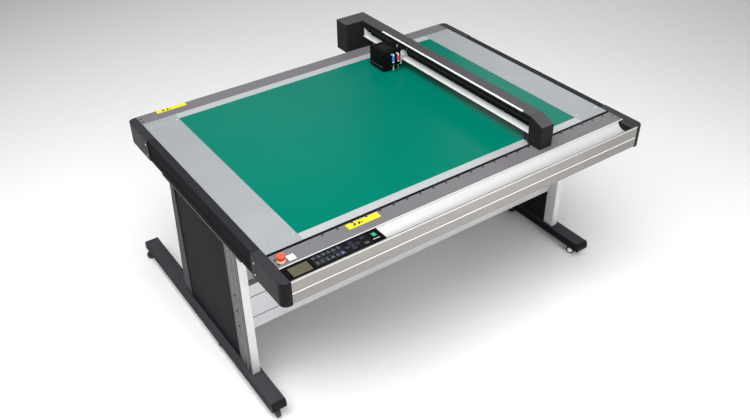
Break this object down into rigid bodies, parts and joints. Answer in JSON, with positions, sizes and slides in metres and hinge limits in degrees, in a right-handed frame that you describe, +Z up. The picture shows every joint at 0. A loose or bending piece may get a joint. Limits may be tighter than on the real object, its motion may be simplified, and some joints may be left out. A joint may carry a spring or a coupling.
{
  "type": "flatbed cutting plotter",
  "caption": "Flatbed cutting plotter on a wheeled stand: green cutting mat, travelling gantry with a cutting head, front tool tray and control panel.",
  "frame": {"origin": "on the floor under the centre of the whole machine's plan outline", "axes": "+X to the operator's right along the table's long side and the gantry's travel, +Y from the operator's side to the rear, +Z up"},
  "size_m": [1.7301, 1.42, 0.935],
  "materials": {
    "fascia_aluminium": "brushed",
    "cover_paint": "satin powder coat",
    "black_moulding": "fine grain",
    "side_black": "satin",
    "bed_aluminium": "satin anodised",
    "core_aluminium": "mill finish",
    "mat_green": "fine matte",
    "panel_gloss": "gloss",
    "display_glass": "gloss",
    "keypad_film": "fine matte",
    "start_green": "gloss",
    "estop_yellow": "satin",
    "estop_red": "satin",
    "steel": "ground",
    "belt_rubber": "toothed",
    "pulley_aluminium": "turned",
    "motor_black": "satin",
    "controller_paint": "powder coat",
    "inlet_plastic": "matte",
    "beam_black": "gloss anodised",
    "ledge_silver": "polished",
    "gantry_paint": "satin powder coat",
    "strip_white": "gloss",
    "head_black": "satin",
    "carriage_aluminium": "machined",
    "tool_blue": "anodised blue grip",
    "tool_red": "anodised red grip",
    "foot_paint": "satin powder coat",
    "post_aluminium": "satin anodised",
    "rear_post_paint": "powder coat",
    "leg_paint": "powder coat",
    "bracket_black": "powder coat",
    "beam_aluminium": "satin anodised",
    "caster_steel": "black zinc",
    "wheel_plastic": "tread black with pale hub",
    "levelling_rubber": "moulded"
  },
  "bodies": {
    "root": {"bed_core": "core_aluminium", "bed_strips": "bed_aluminium", "control_panel": "panel_gloss", "controller_box": "controller_paint", "corner_caps": "black_moulding", "crossbeam": "beam_aluminium", "cutting_mat": "mat_green", "display_window": "display_glass", "drive_belts": "belt_rubber", "estop_collar": "estop_yellow", "foot_end_caps": "black_moulding", "front_posts": "post_aluminium", "front_rail": "fascia_aluminium", "front_rail_cover": "cover_paint", "guide_rails": "steel", "left_bed_plate": "bed_aluminium", "left_foot": "foot_paint", "leg_panels": "leg_paint", "membrane_keypad": "keypad_film", "power_inlet": "inlet_plastic", "rear_posts": "rear_post_paint", "rear_rail": "fascia_aluminium", "rear_rail_cover": "cover_paint", "right_bed_plate": "bed_aluminium", "right_foot": "foot_paint", "side_rails": "side_black", "table_brackets": "bracket_black", "table_screws": "steel", "tray_end_block": "black_moulding", "x_motor": "motor_black"},
    "gantry": {"gantry_beam": "beam_black", "gantry_ledge": "ledge_silver", "gantry_cover": "gantry_paint", "gantry_edge_strip": "strip_white", "gantry_front_cap": "gantry_paint", "gantry_rear_box": "gantry_paint", "gantry_trucks": "bracket_black", "y_motor": "motor_black", "y_belt": "belt_rubber"},
    "head": {"head_carriage": "carriage_aluminium", "head_cover": "head_black"},
    "pen": {"pen_holder": "tool_blue"},
    "blade": {"blade_holder": "tool_red"},
    "drive_shaft": {"drive_shaft": "steel"},
    "front_belt_idler": {"front_belt_idler": "pulley_aluminium"},
    "rear_belt_idler": {"rear_belt_idler": "pulley_aluminium"},
    "y_drive_pulley": {"y_drive_pulley": "pulley_aluminium"},
    "y_idler_pulley": {"y_idler_pulley": "pulley_aluminium"},
    "estop_button": {"estop_button": "estop_red"},
    "start_key": {"start_key": "start_green"},
    "left_levelling_foot": {"left_levelling_foot": "levelling_rubber"},
    "right_levelling_foot": {"right_levelling_foot": "levelling_rubber"},
    "front_left_fork": {"front_left_caster_fork": "caster_steel"},
    "front_left_wheel": {"front_left_caster_wheel": "wheel_plastic"},
    "front_right_fork": {"front_right_caster_fork": "caster_steel"},
    "front_right_wheel": {"front_right_caster_wheel": "wheel_plastic"},
    "rear_left_fork": {"rear_left_caster_fork": "caster_steel"},
    "rear_left_wheel": {"rear_left_caster_wheel": "wheel_plastic"},
    "rear_right_fork": {"rear_right_caster_fork": "caster_steel"},
    "rear_right_wheel": {"rear_right_caster_wheel": "wheel_plastic"}
  },
  "joints": [
    {"name": "gantry_travel", "type": "slide", "parent": "root", "child": "gantry", "axis": [1, 0, 0], "range_m": [-0.975, 0.368]},
    {"name": "head_travel", "type": "slide", "parent": "gantry", "child": "head", "axis": [0, 1, 0], "range_m": [-0.78, 0.165]},
    {"name": "pen_lift", "type": "slide", "parent": "head", "child": "pen", "axis": [0, 0, 1], "range_m": [-0.005, 0], "stiffness_N_per_m": 150, "springref_m": 0.006},
    {"name": "blade_lift", "type": "slide", "parent": "head", "child": "blade", "axis": [0, 0, 1], "range_m": [-0.007, 0], "stiffness_N_per_m": 150, "springref_m": 0.006},
    {"name": "drive_shaft_spin", "type": "hinge", "parent": "root", "child": "drive_shaft", "pos_m": [-0.715, -0.607, 0.74], "axis": [0, 1, 0], "range_deg": [-4200, 1620]},
    {"name": "front_idler_spin", "type": "hinge", "parent": "root", "child": "front_belt_idler", "pos_m": [0.79, -0.607, 0.74], "axis": [0, 1, 0], "range_deg": [-4200, 1620]},
    {"name": "rear_idler_spin", "type": "hinge", "parent": "root", "child": "rear_belt_idler", "pos_m": [0.79, 0.552, 0.74], "axis": [0, 1, 0], "range_deg": [-4200, 1620]},
    {"name": "y_pulley_spin", "type": "hinge", "parent": "gantry", "child": "y_drive_pulley", "pos_m": [0.3855, 0.636, 0.905], "axis": [0, 0, 1], "range_deg": [-720, 3330]},
    {"name": "y_idler_spin", "type": "hinge", "parent": "gantry", "child": "y_idler_pulley", "pos_m": [0.3855, -0.562, 0.905], "axis": [0, 0, 1], "range_deg": [-720, 3330]},
    {"name": "estop_press", "type": "slide", "parent": "root", "child": "estop_button", "axis": [0, 0, 1], "range_m": [-0.004, 0], "stiffness_N_per_m": 900, "springref_m": 0.002},
    {"name": "start_key_press", "type": "slide", "parent": "root", "child": "start_key", "axis": [0, 0, 1], "range_m": [-0.0012, 0], "stiffness_N_per_m": 400, "springref_m": 0.001},
    {"name": "left_levelling", "type": "slide", "parent": "root", "child": "left_levelling_foot", "axis": [0, 0, 1], "range_m": [-0.012, 0.006]},
    {"name": "right_levelling", "type": "slide", "parent": "root", "child": "right_levelling_foot", "axis": [0, 0, 1], "range_m": [-0.012, 0.006]},
    {"name": "front_left_swivel", "type": "hinge", "parent": "root", "child": "front_left_fork", "pos_m": [-0.826, -0.498, 0.047], "axis": [0, 0, 1], "continuous": true},
    {"name": "front_left_roll", "type": "hinge", "parent": "front_left_fork", "child": "front_left_wheel", "pos_m": [-0.82906, -0.51979, 0.021], "axis": [0.9903, -0.1392, 0], "continuous": true},
    {"name": "front_right_swivel", "type": "hinge", "parent": "root", "child": "front_right_fork", "pos_m": [0.826, -0.498, 0.047], "axis": [0, 0, 1], "continuous": true},
    {"name": "front_right_roll", "type": "hinge", "parent": "front_right_fork", "child": "front_right_wheel", "pos_m": [0.8174, -0.47775, 0.021], "axis": [-0.9205, -0.3907, 0], "continuous": true},
    {"name": "rear_left_swivel", "type": "hinge", "parent": "root", "child": "rear_left_fork", "pos_m": [-0.826, 0.67, 0.047], "axis": [0, 0, 1], "continuous": true},
    {"name": "rear_left_roll", "type": "hinge", "parent": "rear_left_fork", "child": "rear_left_wheel", "pos_m": [-0.84704, 0.67643, 0.021], "axis": [-0.2924, -0.9563, 0], "continuous": true},
    {"name": "rear_right_swivel", "type": "hinge", "parent": "root", "child": "rear_right_fork", "pos_m": [0.826, 0.67, 0.047], "axis": [0, 0, 1], "continuous": true},
    {"name": "rear_right_roll", "type": "hinge", "parent": "rear_right_fork", "child": "rear_right_wheel", "pos_m": [0.84156, 0.68556, 0.021], "axis": [-0.7071, 0.7071, 0], "continuous": true}
  ],
  "couplings": [
    {"joint": "drive_shaft_spin", "follows": "gantry_travel", "rad_per_m": 73.801},
    {"joint": "front_idler_spin", "follows": "gantry_travel", "rad_per_m": 73.801},
    {"joint": "rear_idler_spin", "follows": "gantry_travel", "rad_per_m": 73.801},
    {"joint": "y_pulley_spin", "follows": "head_travel", "rad_per_m": -73.801},
    {"joint": "y_idler_spin", "follows": "head_travel", "rad_per_m": -73.801}
  ]
}
